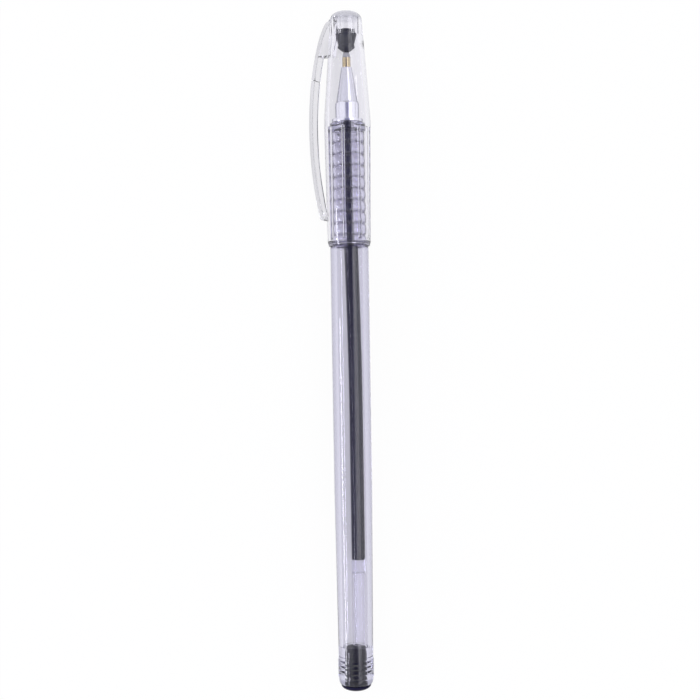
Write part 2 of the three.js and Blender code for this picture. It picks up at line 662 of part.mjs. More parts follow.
function capShell(clipAngle) {
  let shell = capOutside().subtract(capInside());
  for (const rib of capRibs()) shell = shell.add(rib);
  const root = geometryOf(clipRoot()).rotateY(clipAngle);
  return geometryOf(shell.add(solidOf(root)));
}

// The pen rolls on its side until the clip's outer edge meets the surface that it lies on.
function clipDropAngle() {
  let peak = 0;
  for (const [x] of clipFace(clipLine(), 0, 1, 0)) peak = Math.max(peak, x);
  const reach = Math.hypot(peak, CLIP_WIDTH / 2);
  const edge = Math.atan2(CLIP_WIDTH / 2, peak);
  return Math.asin(Math.min(1, CAP_RADIUS / reach)) - edge;
}

function pen() {
  const clipAngle = Math.PI - clipDropAngle();
  const group = new THREE.Group();
  group.add(
    named("barrel", barrel(), clearPlastic),
    named("tail_plug", tailPlug(), blackPlastic),
    named("nose_cone", noseCone(), chrome),
    named("point_tip", pointTip(), brass),
    named("writing_ball", writingBall(), ballMetal),
    named("tip_holder", tipHolder(), milkyPlastic),
    named("refill_tube", refillTube(), milkyPlastic),
    named("ink_column", inkColumn(), ink),
    named("ink_follower", inkFollower(), grease),
    named("cap_shell", capShell(clipAngle), clearCapPlastic),
    named("cap_seal", capSeal(), sealPlastic),
    named("pocket_clip", geometryOf(pocketClip()).rotateY(clipAngle), clearCapPlastic),
  );
  return group;
}

// The origin is under the middle of the pen, on the surface that it lies on.
function laidDown(group) {
  const box = new THREE.Box3().setFromObject(group, true);
  const centre = box.getCenter(new THREE.Vector3());
  group.position.set(-centre.x, -centre.y, -box.min.z);
  return group;
}

const part = new THREE.Group();
part.add(laidDown(pen()));

export default part;
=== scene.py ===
import math

import bmesh
import bpy
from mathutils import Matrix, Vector

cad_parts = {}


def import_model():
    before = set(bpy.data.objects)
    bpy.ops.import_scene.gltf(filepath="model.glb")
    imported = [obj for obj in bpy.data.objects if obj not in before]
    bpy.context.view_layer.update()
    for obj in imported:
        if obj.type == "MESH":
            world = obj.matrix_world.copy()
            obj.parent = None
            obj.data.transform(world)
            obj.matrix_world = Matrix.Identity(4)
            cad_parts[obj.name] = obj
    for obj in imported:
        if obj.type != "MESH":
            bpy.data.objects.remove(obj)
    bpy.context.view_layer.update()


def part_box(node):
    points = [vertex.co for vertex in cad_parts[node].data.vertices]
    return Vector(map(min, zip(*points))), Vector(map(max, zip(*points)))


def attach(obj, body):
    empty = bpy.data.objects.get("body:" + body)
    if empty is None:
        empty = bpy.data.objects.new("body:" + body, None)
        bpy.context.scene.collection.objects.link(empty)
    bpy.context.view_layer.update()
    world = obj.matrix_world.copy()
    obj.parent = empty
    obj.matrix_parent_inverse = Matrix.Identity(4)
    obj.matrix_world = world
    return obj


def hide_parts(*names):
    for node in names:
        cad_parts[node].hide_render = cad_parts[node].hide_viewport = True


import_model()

MM = 0.001
barrel_low, barrel_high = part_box("barrel")
AXIS_X = (barrel_low.x + barrel_high.x) / 2
AXIS_Z = (barrel_low.z + barrel_high.z) / 2
TAIL_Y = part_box("tail_plug")[0].y

# Fineness.
SIDES = 128
CAP_SIDES = 384
TIP_SIDES = 64
BALL_SIDES = 48
CORNER_STEPS = 4
CORNER_REACH = 0.45
QUARTER_STEPS = 10
ON_AXIS = 1e-6
SHARP_ANGLE = math.radians(38)

# Tail plug.
PLUG_HEAD_RADIUS = 3.3
PLUG_HEAD_HEIGHT = 1.4
PLUG_STEM_RADIUS = 2.42
PLUG_FRONT = 9.6
PLUG_LEAD_LENGTH = 0.9
PLUG_LEAD_DEPTH = 0.2
PLUG_CORNER = 0.1

# Barrel.
TAIL_END = 1.55
TAIL_ROUND_LENGTH = 1.4
TAIL_RADIUS = 3.78
RING_COUNT = 4
RING_PITCH = 1.05
RING_HEIGHT = 0.13
RING_STEPS = 12
PLUG_BORE_RADIUS = 2.48
BORE_END = 9.75
BORE_RADIUS = 2.85
WAIST_RADIUS = 4.14
WAIST_T = 44.05
BODY_RADIUS = 4.2
SHOULDER = 97.35
SHOULDER_ROUND = 0.2
GRIP_REAR_RADIUS = 3.84
GRIP_FRONT_RADIUS = 3.68
GRIP_ROW_COUNT = 10
GRIP_ROW_DEPTH = 0.3
GRIP_ROW_STEPS = 18
GRIP_ROW_POWER = 3
COLLAR_REAR = 122.55
COLLAR_FRONT = 124.5
COLLAR_RADIUS = 3.92
COLLAR_STEP = 0.24
COLLAR_WALL = 1.1
BARREL_CORNER = 0.1
BORE_TAPER_LENGTH = 1.2
SPIGOT_END = 127.7
SPIGOT_RADIUS = 2.07
SPIGOT_BORE_RADIUS = 1.55

# Nose cone.
NOSE_REAR = 124.65
FLANGE_FRONT = 125.3
FLANGE_RADIUS = 3.38
NOSE_CYLINDER_RADIUS = 2.58
NOSE_CYLINDER_END = 128.75
NOSE_CONE_START = 129.0
NOSE_CONE_RADIUS = 2.34
NOSE_BORE_RADIUS = 2.13
NOSE_FRONT = 136.7
NOSE_FRONT_RADIUS = 1.13
NOSE_HOLE_RADIUS = 0.96
NOSE_INNER_START = 127.85
NOSE_CORNER = 0.08

# Writing tip and ball.
TIP_SHANK_REAR = 131.716
TIP_SHOULDER = 135.716
TIP_CONE_START = 138.9
TIP_RIM = 140.7
TIP_RADIUS = 0.9
TIP_SHANK_RADIUS = 0.7
TIP_CHANNEL_RADIUS = 0.25
TIP_RIM_OUTER = 0.42
TIP_RIM_INNER = 0.34
TIP_CORNER = 0.05
BALL_CENTRE = 140.567
BALL_RADIUS = 0.35
BALL_STEPS = 24
BALL_GAP = 0.02

# Refill.
HOLDER_SPIGOT_REAR = 97.39
HOLDER_REAR = 98.79
HOLDER_SHOULDER = 132.69
HOLDER_FRONT = 135.566
HOLDER_RADIUS = 1.43
HOLDER_FRONT_RADIUS = 1.05
HOLDER_SPIGOT_RADIUS = 1.14
HOLDER_BORE_RADIUS = 0.55
TIP_SOCKET_RADIUS = 0.74
TUBE_REAR = 9.9
TUBE_FRONT = 98.64
TUBE_RADIUS = 1.57
TUBE_BORE_RADIUS = 1.2
INK_FRONT = 131.566
INK_STEP = 97.24
INK_REAR = 28.64
FOLLOWER_FRONT = 28.6
FOLLOWER_REAR = 25.7
WETTED = 0.012
MENISCUS = 0.35
LEAN = 1.23
LEAN_START = 122.55
LEAN_LENGTH = 61
LEAN_BELOW_LEVEL = math.radians(38)
LEAN_STEP = 2

# Cap.
CAP_MOUTH = 97.5
CAP_LIP_END = 98.4
CAP_LIP_TAPER = 0.27
CAP_LIP_CORNER = 0.12
CAP_MOUTH_RADIUS = 4.72
CAP_MOUTH_BORE = 4.23
CAP_BEAD_START = 97.95
CAP_BEAD_END = 98.65
CAP_BEAD_HEIGHT = 0.22
CAP_BEAD_STEPS = 12
CAP_STEP = 123.525
CAP_STEP_BORE = 4.41
CAP_STEP_EASE = 0.02
CAP_UPPER_BORE = 4.16
CAP_RADIUS = 5.11
CAP_ROUND_LENGTH = 4.8
CAP_ROUND_DROP = 0.22
CAP_ROUND_STEPS = 10
CAP_CONE_WALL = 0.85
SOCKET_START = 140.2
SOCKET_END = 143.6
SOCKET_STEPS = 12
SOCKET_RADIUS = 2.76
CEILING = 147.617
CROWN_TOP = 149.017
CROWN_RADIUS = 3.51
CROWN_ROUND_LENGTH = 1.9
CROWN_LAND_RADIUS = 1.3
CROWN_STEPS = 14
GATE_RADIUS = 0.3
GATE_DEPTH = 0.3
GATE_ROUND = 0.7
GRIP_RIB_COUNT = 8
GRIP_RIB_PHASE = math.radians(32.5)
GRIP_RIB_INNER = 3.98
GRIP_RIB_START = 98.9
GRIP_RIB_WIDTH = 0.6
GRIP_RIB_END = 0.5
GRIP_RIB_LEAD = 0.2
GRIP_RIB_FLARE = 0.1
CROWN_RIB_COUNT = 6
CROWN_RIB_PHASE = math.radians(30)
CROWN_RIB_INNER = 2.36
CROWN_RIB_START = 143.7
CROWN_RIB_WIDTH = 0.65
CROWN_RIB_END = 0.6
CROWN_RIB_LEAD = 0.1
RIB_POWER = 4
RIB_ROW_STEP = 0.12
RIB_EASE = 0.01

# Seal.
SEAL_BOTTOM = 140.267
SEAL_SKIRT_START = 141.067
SEAL_WAIST_START = 141.767
SEAL_BAND_START = 143.767
SEAL_BAND_END = 143.95
SEAL_TOP = 145.1
SEAL_RADIUS = 2.3
SEAL_TOP_RADIUS = 1.25
SEAL_WAIST_RADIUS = 1.73
SEAL_SKIRT_RADIUS = 1.92
SEAL_POCKET_RADIUS = 0.79
SEAL_POCKET_END = 141.04
SEAL_LIP = 0.15
SEAL_CORNER = 0.25

# Clip, drawn in its own plane: x away from the pen's axis and t along the pen.
CLIP_DROP = math.radians(25.757)
CLIP_THICKNESS = 0.83
CLIP_WIDTH = 2.9
CLIP_FOOT_WIDTH = 2.8
CLIP_TOP = 147.117
CLIP_SPLIT = 134.617
CLIP_PARTING = 0.12
CLIP_ROOT_END = 139.717
CLIP_CROTCH_ROUND = 0.9
CLIP_FOOT = 104.217
CLIP_FOOT_RADIUS = 0.75
CLIP_FOOT_GAP = 0.2
CLIP_FOOT_TURN = math.radians(255)
CLIP_FOOT_RISE = 1.2
CLIP_ARCH_START = (2.5, 0.4)
CLIP_ARCH_PEAK = (8.2, 20)
CLIP_TUCK = 0.15
CLIP_EMBED = 2.95
CLIP_EMBED_LOW = 3.4
CLIP_EDGE_ROUND = 0.1
CLIP_EDGE_STEPS = 4
CLIP_EDGE_ANGLE = math.radians(50)
CLIP_EDGE_ALONG = 0.5
CLIP_STEPS = 40
ROOT_STEPS = 16
FOOT_STEPS = 20
SEARCH_STEPS = 30

# Finishes. A grain is how many specks of a noise fit in a metre, and a stretch is how much finer
# the noise is along each axis.
NOISE_LOW = 0.3
NOISE_HIGH = 0.7
NOISE_DETAIL = 3.0
CLEAR_GRAIN = 700
CLEAR_STRETCH = (1, 0.15, 1)
BLACK_COLOUR_GRAIN = 900
BLACK_GLOSS_GRAIN = 1500
METAL_COLOUR_GRAIN = 600
METAL_COLOUR_STRETCH = (1, 3, 1)
METAL_GLOSS_GRAIN = 900
METAL_GLOSS_STRETCH = (0.2, 8, 0.2)
# The metals' tint where light grazes them.
METAL_EDGE = (0.25, 0.25, 0.3)
# Each clear plastic: tint, refractive index, greatest roughness, tint of its shadow.
CLEAR = {
    "clear_barrel_plastic": ((0.885, 0.88, 0.91), 1.5, 0.02, (0.97, 0.965, 0.985)),
    "clear_cap_plastic": ((0.985, 0.98, 1), 1.5, 0.03, (0.995, 0.995, 1)),
    "milky_plastic": ((0.96, 0.955, 0.985), 1.45, 0.02, (0.95, 0.95, 0.965)),
    "follower_grease": ((0.98, 0.98, 1), 1.45, 0.02, (0.97, 0.97, 0.98)),
}
# The colour that a thick stretch of a clear plastic turns to, and how strongly a metre does it.
BARREL_DEPTH = ((0.2, 0.17, 0.62), 75)
CAP_DEPTH = ((0.5, 0.48, 0.8), 15)
# How early the barrel's shadow darkens towards its rim.
BARREL_RIM = 0.36
# Each black finish: darker colour, lighter colour, least and greatest roughness, specular level.
BLACK = {
    "black_plastic": ((0.009, 0.008, 0.026), (0.014, 0.013, 0.038), 0.1, 0.22, 0.03),
    "seal_plastic": ((0.02, 0.022, 0.045), (0.03, 0.032, 0.06), 0.3, 0.45, 0.12),
    "black_ink": ((0.015, 0.013, 0.045), (0.02, 0.018, 0.058), 0.2, 0.35, 0),
}
# Each metal: one colour, a second one, least and greatest roughness.
METAL = {
    "bright_metal": ((0.93, 0.93, 0.98), (0.9, 0.9, 0.96), 0.1, 0.18),
    "tip_brass": ((0.66, 0.56, 0.36), (0.56, 0.46, 0.28), 0.12, 0.22),
    "ball_steel": ((0.5, 0.5, 0.53), (0.42, 0.42, 0.45), 0.1, 0.2),
}
# Stretches of a piece with a colour laid over them, and how softly each starts and ends.
# Painted shade over the whole grip.
GRIP_PAINTED_SHADE = (0.82, 0.81, 0.89)
GRIP_SOFT = 0.3
# Painted shade in the valleys between the grip's rows.
VALLEY_PAINTED_SHADE = (0.42, 0.4, 0.51)
VALLEY_WIDTH = 0.8
# Painted shade on the barrel's rounded tail end, a painted reflection of the black plug seen in it.
TAIL_PAINTED_SHADE = (0.5, 0.5, 0.57)
TAIL_REACH = 0.8
TAIL_SOFT = 0.5
# Painted shade in a band at the cap's mouth.
MOUTH_PAINTED_SHADE = (0.22, 0.21, 0.28)
MOUTH_REACH = 0.7
MOUTH_SOFT = 0.25
CROWN_COLOUR = (0.75, 0.75, 0.79)
CROWN_SOFT = 1
NOSE_CONE_COLOUR = (0.74, 0.74, 0.8)
# The tip's cone: partly its own darker metal, partly a painted reflection of the black seal above
# it.
TIP_CONE_METAL_AND_SHADE = (0.42, 0.42, 0.44)
METAL_SOFT = 0.1
# How far such a stretch runs on past the piece's end.
PAST_END = 1

# Camera: straight above the pen, tilted so that the crown leans to the picture's left.
CAMERA_HEIGHT = 285
CAMERA_T = 74.77
CAMERA_ASIDE = -0.23
CAMERA_LEAN = math.radians(0.92)
CAMERA_LENS = 66.69
SENSOR = 36

# Light.
LAMP_COLOUR = (0.92, 0.91, 1.0)
# Each lamp: degrees from straight above towards +X, distance, place along the pen from the
# picture's middle, width, length, brightness.
LAMPS = {
    "soft_box_right": (29, 700, 0, 300, 1200, 1.2),
    "strip_left": (-67, 700, -140, 80, 440, 14),
}
# The room's brightness, from the horizon up to straight above.
ROOM = {
    0.0: (0.48, 0.48, 0.52),
    0.12: (0.82, 0.82, 0.86),
    0.5: (0.92, 0.92, 0.97),
    0.88: (0.92, 0.92, 0.97),
    0.96: (0.20, 0.20, 0.32),
}
FLOOR_SIZE = 3000
FLOOR_COLOUR = (0.92, 0.92, 0.93)
FLOOR_COLOUR_LOW = 0.99
FLOOR_GRAIN = 3
FLOOR_ROUGHNESS = 0.9
# How much of the floor's look is plain white, to the camera and then to other rays.
FLOOR_SHOWN = 0.96
FLOOR_SHOWN_THROUGH = 0.62
LIGHT_BOUNCES = 32


def place(aside, t, up):
    """A point in the frame, from millimetres beside the axis, along the pen and above the axis."""
    return Vector((AXIS_X + aside * MM, TAIL_Y + t * MM, AXIS_Z + up * MM))


def mix(a, b, share):
    return a + (b - a) * share


def smooth_share(low, high, value):
    share = min(1, max(0, (value - low) / (high - low)))
    return share * share * (3 - 2 * share)


# Profiles.


def rounded(points, radius):
    """The outline with each corner inside it rounded by a short curve."""
    made = [points[0]]
    for before, corner, after in zip(points, points[1:], points[2:]):
        p, a, b = Vector(corner[:2]), Vector(before[:2]), Vector(after[:2])
        reach = min(radius, CORNER_REACH * (a - p).length, CORNER_REACH * (b - p).length)
        start = p + (a - p).normalized() * reach
        end = p + (b - p).normalized() * reach
        for i in range(CORNER_STEPS + 1):
            share = i / CORNER_STEPS
            point = start.lerp(p, share).lerp(p.lerp(end, share), share)
            made.append((point.x, point.y))
    made.append(points[-1])
    return made


def quarter(from_point, to_point, steps=QUARTER_STEPS):
    """A quarter of an ellipse that leaves the first point along the pen."""
    points = []
    for i in range(steps + 1):
        angle = math.pi / 2 * i / steps
        x = to_point[0] + (from_point[0] - to_point[0]) * math.cos(angle)
        t = from_point[1] + (to_point[1] - from_point[1]) * math.sin(angle)
        points.append((x, t))
    return points


def straight(radius, from_t, to_t, step=LEAN_STEP):
    """A straight stretch cut into short ones, so that it can be bent."""
    count = max(1, math.ceil(abs(to_t - from_t) / step))
    return [(radius, mix(from_t, to_t, i / count)) for i in range(count + 1)]


# Meshes.


def finished(obj, material, body, slot, *nodes):
    """Gives a piece its finish and its body, and hides the CAD nodes that it stands for."""
    obj.data.materials.clear()
    obj.data.materials.append(material)
    obj.data.shade_smooth()
    obj.data.set_sharp_from_angle(angle=SHARP_ANGLE)
    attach(obj, body)
    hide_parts(*nodes)
    return obj


def object_from(name, points, faces):
    """A closed mesh from points in the frame, with its faces turned outwards."""
    mesh = bpy.data.meshes.new(name)
    mesh.from_pydata([tuple(p) for p in points], [], faces)
    made = bmesh.new()
    made.from_mesh(mesh)
    bmesh.ops.recalc_face_normals(made, faces=made.faces)
    made.to_mesh(mesh)
    made.free()
    obj = bpy.data.objects.new(name, mesh)
    bpy.context.scene.collection.objects.link(obj)
    return obj


def stitched(rings, sides):
    """The faces between rings of point numbers. The last ring meets the first, unless that is a
    single point on the axis."""
    pairs = list(zip(rings, rings[1:]))
    if len(rings[0]) > 1:
        pairs.append((rings[-1], rings[0]))
    faces = []
    for a, b in pairs:
        for i in range(sides):
            j = (i + 1) % sides
            corners = [a[i % len(a)], a[j % len(a)], b[j % len(b)], b[i % len(b)]]
            face = list(dict.fromkeys(corners))
            if len(face) > 2:
                faces.append(face)
    return faces


def turned(name, profile, sides=SIDES, relief=None, bend=None):
    """A piece turned about the pen's axis. relief(radius, t, angle) changes a radius, and bend(t)
    gives a shift aside and up. Angles run from straight up towards +X."""
    points = []
    rings = []
    for radius, t in profile:
        shift = bend(t) if bend else (0, 0)
        if radius < ON_AXIS:
            rings.append([len(points)])
            points.append(place(shift[0], t, shift[1]))
            continue
        rings.append(list(range(len(points), len(points) + sides)))
        for i in range(sides):
            angle = 2 * math.pi * i / sides
            r = relief(radius, t, angle) if relief else radius
            points.append(place(shift[0] + r * math.sin(angle), t, shift[1] + r * math.cos(angle)))
    return object_from(name, points, stitched(rings, sides))


def boolean(obj, other, operation):
    """Joins or cuts obj with other, which is used up."""
    cut = obj.modifiers.new("cut", "BOOLEAN")
    cut.operation = operation
    cut.object = other
    cut.solver = "MANIFOLD"
    applied(obj)
    mesh = other.data
    bpy.data.objects.remove(other)
    bpy.data.meshes.remove(mesh)


def applied(obj):
    """Bakes an object's modifiers into its mesh."""
    graph = bpy.context.evaluated_depsgraph_get()
    mesh = bpy.data.meshes.new_from_object(obj.evaluated_get(graph), depsgraph=graph)
    obj.modifiers.clear()
    old = obj.data
    obj.data = mesh
    bpy.data.meshes.remove(old)


# Materials.


class Finish:
    """A material with a Principled shader and short ways to wire its nodes."""

    def __init__(self, name, colour, roughness, metallic=0.0):
        self.material = bpy.data.materials.new(name)
        self.material.use_nodes = True
        self.nodes = self.material.node_tree.nodes
        self.links = self.material.node_tree.links
        self.shader = self.nodes["Principled BSDF"]
        self.output = self.nodes["Material Output"]
        self.shader.inputs["Base Color"].default_value = (*colour, 1)
        self.shader.inputs["Roughness"].default_value = roughness
        self.shader.inputs["Metallic"].default_value = metallic
        self.place = self.nodes.new("ShaderNodeTexCoord").outputs["Object"]

    def noise(self, grain, stretch):
        """Noise over the piece."""
        mapping = self.nodes.new("ShaderNodeMapping")
        mapping.inputs["Scale"].default_value = stretch
        self.links.new(self.place, mapping.inputs["Vector"])
        noise = self.nodes.new("ShaderNodeTexNoise")
        noise.inputs["Scale"].default_value = grain
        noise.inputs["Detail"].default_value = NOISE_DETAIL
        self.links.new(mapping.outputs["Vector"], noise.inputs["Vector"])
        return noise.outputs["Fac"]

    def spread(self, source, low, high):
        """A value from low to high, following a noise."""
        spread = self.nodes.new("ShaderNodeMapRange")
        spread.inputs["From Min"].default_value = NOISE_LOW
        spread.inputs["From Max"].default_value = NOISE_HIGH
        spread.inputs["To Min"].default_value = low
        spread.inputs["To Max"].default_value = high
        self.links.new(source, spread.inputs["Value"])
        return spread.outputs["Result"]

    def vary_roughness(self, grain, low, high, stretch=(1, 1, 1)):
        varied = self.spread(self.noise(grain, stretch), low, high)
        self.links.new(varied, self.shader.inputs["Roughness"])

    def vary_colour(self, grain, first, second, stretch=(1, 1, 1)):
        blend = self.nodes.new("ShaderNodeMix")
        blend.data_type = "RGBA"
        blend.inputs["A"].default_value = (*first, 1)
        blend.inputs["B"].default_value = (*second, 1)
        self.links.new(self.spread(self.noise(grain, stretch), 0, 1), blend.inputs["Factor"])
        self.links.new(blend.outputs["Result"], self.shader.inputs["Base Color"])

    def math(self, operation, first, second):
        node = self.nodes.new("ShaderNodeMath")
        node.operation = operation
        for socket, value in zip(node.inputs, (first, second)):
            if isinstance(value, (int, float)):
                socket.default_value = value
            else:
                self.links.new(value, socket)
        return node.outputs["Value"]

    def ramp(self, value, start, end):
        """0 before start, 1 past end and smooth between them. end may be the lower of the two."""
        ramp = self.nodes.new("ShaderNodeMapRange")
        ramp.interpolation_type = "SMOOTHSTEP"
        ramp.inputs["From Min"].default_value = start
        ramp.inputs["From Max"].default_value = end
        self.links.new(value, ramp.inputs["Value"])
        return ramp.outputs["Result"]

    def station(self):
        """The place along the pen from its tail end, in millimetres."""
        split = self.nodes.new("ShaderNodeSeparateXYZ")
        self.links.new(self.place, split.inputs["Vector"])
        return self.math("MULTIPLY", self.math("SUBTRACT", split.outputs["Y"], TAIL_Y), 1 / MM)

    def zone(self, start, end, soft):
        """1 between two stations, and 0 elsewhere."""
        t = self.station()
        begun = self.ramp(t, start - soft, start)
        return self.math("MULTIPLY", begun, self.ramp(t, end + soft, end))

    def valleys(self, start, pitch, count, width):
        """1 in the valleys between a number of rows, and 0 elsewhere."""
        rows = self.math("DIVIDE", self.math("SUBTRACT", self.station(), start), pitch)
        off = self.math("ABSOLUTE", self.math("SUBTRACT", self.math("FRACT", rows, 0), 0.5), 0)
        line = self.ramp(off, 0.5 - width / pitch, 0.5)
        return self.math("MULTIPLY", line, self.zone(start, start + pitch * count, width))

    def recolour(self, share, colour):
        """Blends another colour into the base colour."""
        base = self.shader.inputs["Base Color"]
        blend = self.nodes.new("ShaderNodeMix")
        blend.data_type = "RGBA"
        blend.inputs["A"].default_value = base.default_value
        blend.inputs["B"].default_value = (*colour, 1)
        if base.links:
            self.links.new(base.links[0].from_socket, blend.inputs["A"])
        self.links.new(share, blend.inputs["Factor"])
        self.links.new(blend.outputs["Result"], base)

    def let_lamps_through(self, tint, rim):
        """The piece casts a tinted shadow instead of a solid one, darker where the light grazes it.
        rim is how early that starts, from 0 for not at all."""
        path = self.nodes.new("ShaderNodeLightPath")
        open_way = self.nodes.new("ShaderNodeBsdfTransparent")
        open_way.inputs["Color"].default_value = (*tint, 1)
        if rim:
            graze = self.nodes.new("ShaderNodeLayerWeight")
            graze.inputs["Blend"].default_value = rim
            shade = self.nodes.new("ShaderNodeMix")
            shade.data_type = "RGBA"
            shade.inputs["A"].default_value = (*tint, 1)
            shade.inputs["B"].default_value = (0, 0, 0, 1)
            self.links.new(graze.outputs["Facing"], shade.inputs["Factor"])
            self.links.new(shade.outputs["Result"], open_way.inputs["Color"])
        either = self.nodes.new("ShaderNodeMixShader")
        self.links.new(path.outputs["Is Shadow Ray"], either.inputs["Fac"])
        self.links.new(self.shader.outputs["BSDF"], either.inputs[1])
        self.links.new(open_way.outputs["BSDF"], either.inputs[2])
        self.links.new(either.outputs["Shader"], self.output.inputs["Surface"])


def clear(name, rim=0, depth=None):
    """Clear moulded plastic with faint flow marks along the pen. depth is a colour and how
    strongly a metre of the plastic takes the rest away."""
    tint, ior, roughest, shadow = CLEAR[name]
    finish = Finish(name, tint, roughest)
    if depth:
        absorb = finish.nodes.new("ShaderNodeVolumeAbsorption")
        absorb.inputs["Color"].default_value = (*depth[0], 1)
        absorb.inputs["Density"].default_value = depth[1]
        finish.links.new(absorb.outputs["Volume"], finish.output.inputs["Volume"])
    finish.shader.inputs["Transmission Weight"].default_value = 1
    finish.shader.inputs["IOR"].default_value = ior
    finish.vary_roughness(CLEAR_GRAIN, 0.0, roughest, CLEAR_STRETCH)
    finish.let_lamps_through(shadow, rim)
    return finish


def black(name):
    """An opaque black with a faint change of shade and gloss."""
    dark, light, low, high, specular = BLACK[name]
    finish = Finish(name, dark, low)
    finish.shader.inputs["Specular IOR Level"].default_value = specular
    finish.vary_colour(BLACK_COLOUR_GRAIN, dark, light)
    finish.vary_roughness(BLACK_GLOSS_GRAIN, low, high)
    return finish


def turned_metal(name):
    """Bright metal with the fine rings that a lathe leaves."""
    first, second, low, high = METAL[name]
    finish = Finish(name, first, low, 1.0)
    finish.shader.inputs["Specular Tint"].default_value = (*METAL_EDGE, 1)
    finish.vary_colour(METAL_COLOUR_GRAIN, first, second, METAL_COLOUR_STRETCH)
    finish.vary_roughness(METAL_GLOSS_GRAIN, low, high, METAL_GLOSS_STRETCH)
    return finish


def barrel_finish():
    """Clear with a lilac tint, with painted shade over the grip, darker painted shade in the
    valleys between its rows and painted shade at the tail end.
    """
    finish = clear("clear_barrel_plastic", BARREL_RIM, BARREL_DEPTH)
    pitch = (COLLAR_REAR - SHOULDER) / GRIP_ROW_COUNT
    valleys = finish.valleys(SHOULDER, pitch, GRIP_ROW_COUNT, VALLEY_WIDTH)
    # Painted shade over the grip.
    finish.recolour(finish.zone(SHOULDER, COLLAR_REAR, GRIP_SOFT), GRIP_PAINTED_SHADE)
    # Painted shade in the valleys.
    finish.recolour(valleys, VALLEY_PAINTED_SHADE)
    # Painted shade at the tail end.
    finish.recolour(finish.zone(0, TAIL_END + TAIL_REACH, TAIL_SOFT), TAIL_PAINTED_SHADE)
    return finish


def cap_finish():
    """Almost colourless, with a band of painted shade at the mouth and a greyer crown."""
    finish = clear("clear_cap_plastic", depth=CAP_DEPTH)
    mouth = finish.zone(CAP_MOUTH - PAST_END, CAP_MOUTH + MOUTH_REACH, MOUTH_SOFT)
    crown = finish.zone(CEILING, CROWN_TOP + PAST_END, CROWN_SOFT)
    # Painted shade at the mouth.
    finish.recolour(mouth, MOUTH_PAINTED_SHADE)
    finish.recolour(crown, CROWN_COLOUR)
    return finish


def nose_finish():
    """Bright metal, a shade darker on the cone."""
    finish = turned_metal("bright_metal")
    cone = finish.zone(NOSE_CONE_START, NOSE_FRONT + PAST_END, METAL_SOFT)
    finish.recolour(cone, NOSE_CONE_COLOUR)
    return finish


def tip_finish():
    """Brass with a grey point, which is partly its own darker metal and partly a painted reflection
    of the black seal.
    """
    finish = turned_metal("tip_brass")
    cone = finish.zone(TIP_CONE_START, TIP_RIM + PAST_END, METAL_SOFT)
    # The cone's grey: its own darker metal and a painted reflection of the black seal.
    finish.recolour(cone, TIP_CONE_METAL_AND_SHADE)
    return finish


barrel_plastic = barrel_finish().material
cap_plastic = cap_finish().material
refill_plastic = clear("milky_plastic").material
grease = clear("follower_grease").material
plug_plastic = black("black_plastic").material
seal_plastic = black("seal_plastic").material
ink = black("black_ink").material
nose_metal = nose_finish().material
tip_metal = tip_finish().material
ball_metal = turned_metal("ball_steel").material


# The refill lies on the bore's wall at the tail and comes to the axis at the nose.


def refill_shift(t):
    share = 1 - smooth_share(LEAN_START - LEAN_LENGTH, LEAN_START, t)
    aside = LEAN * share * math.cos(LEAN_BELOW_LEVEL)
    return aside, -LEAN * share * math.sin(LEAN_BELOW_LEVEL)


# Pieces of the barrel's body.


def tail_plug():
    stem_lead = PLUG_STEM_RADIUS - PLUG_LEAD_DEPTH
    lead_t = PLUG_FRONT - PLUG_LEAD_LENGTH
    head = quarter((PLUG_HEAD_RADIUS, PLUG_HEAD_HEIGHT), (0, 0))[::-1]
    stem = rounded([
        head[-1],
        (PLUG_STEM_RADIUS, PLUG_HEAD_HEIGHT),
        (PLUG_STEM_RADIUS, lead_t),
        (stem_lead, lead_t),
        (stem_lead, PLUG_FRONT),
        (0, PLUG_FRONT),
    ], PLUG_CORNER)
    piece = turned("tail_plug_finish", head[:-1] + stem)
    finished(piece, plug_plastic, "barrel", "black_plastic", "tail_plug")


def tail_profile():
    """The tail's rounded end and the four rings in front of it."""
    rings_start = TAIL_END + TAIL_ROUND_LENGTH
    points = quarter((TAIL_RADIUS, rings_start), (PLUG_HEAD_RADIUS, TAIL_END))[::-1]
    for i in range(RING_COUNT):
        for j in range(RING_STEPS):
            u = 2 * j / RING_STEPS - 1
            t = rings_start + RING_PITCH * (i + j / RING_STEPS)
            points.append((TAIL_RADIUS + RING_HEIGHT * math.sqrt(1 - u * u), t))
    points.append((TAIL_RADIUS, rings_start + RING_COUNT * RING_PITCH))
    return points


def grip_profile():
    """Ten rounded rows with a narrow valley between each row and the next."""
    points = []
    pitch = (COLLAR_REAR - SHOULDER) / GRIP_ROW_COUNT
    for i in range(GRIP_ROW_COUNT):
        for j in range(GRIP_ROW_STEPS):
            u = 2 * j / GRIP_ROW_STEPS - 1
            t = SHOULDER + pitch * (i + j / GRIP_ROW_STEPS)
            share = (t - SHOULDER) / (COLLAR_REAR - SHOULDER)
            ridge = mix(GRIP_REAR_RADIUS, GRIP_FRONT_RADIUS, share)
            points.append((ridge - GRIP_ROW_DEPTH * abs(u) ** GRIP_ROW_POWER, t))
    points.append((GRIP_FRONT_RADIUS - GRIP_ROW_DEPTH, COLLAR_REAR))
    return points


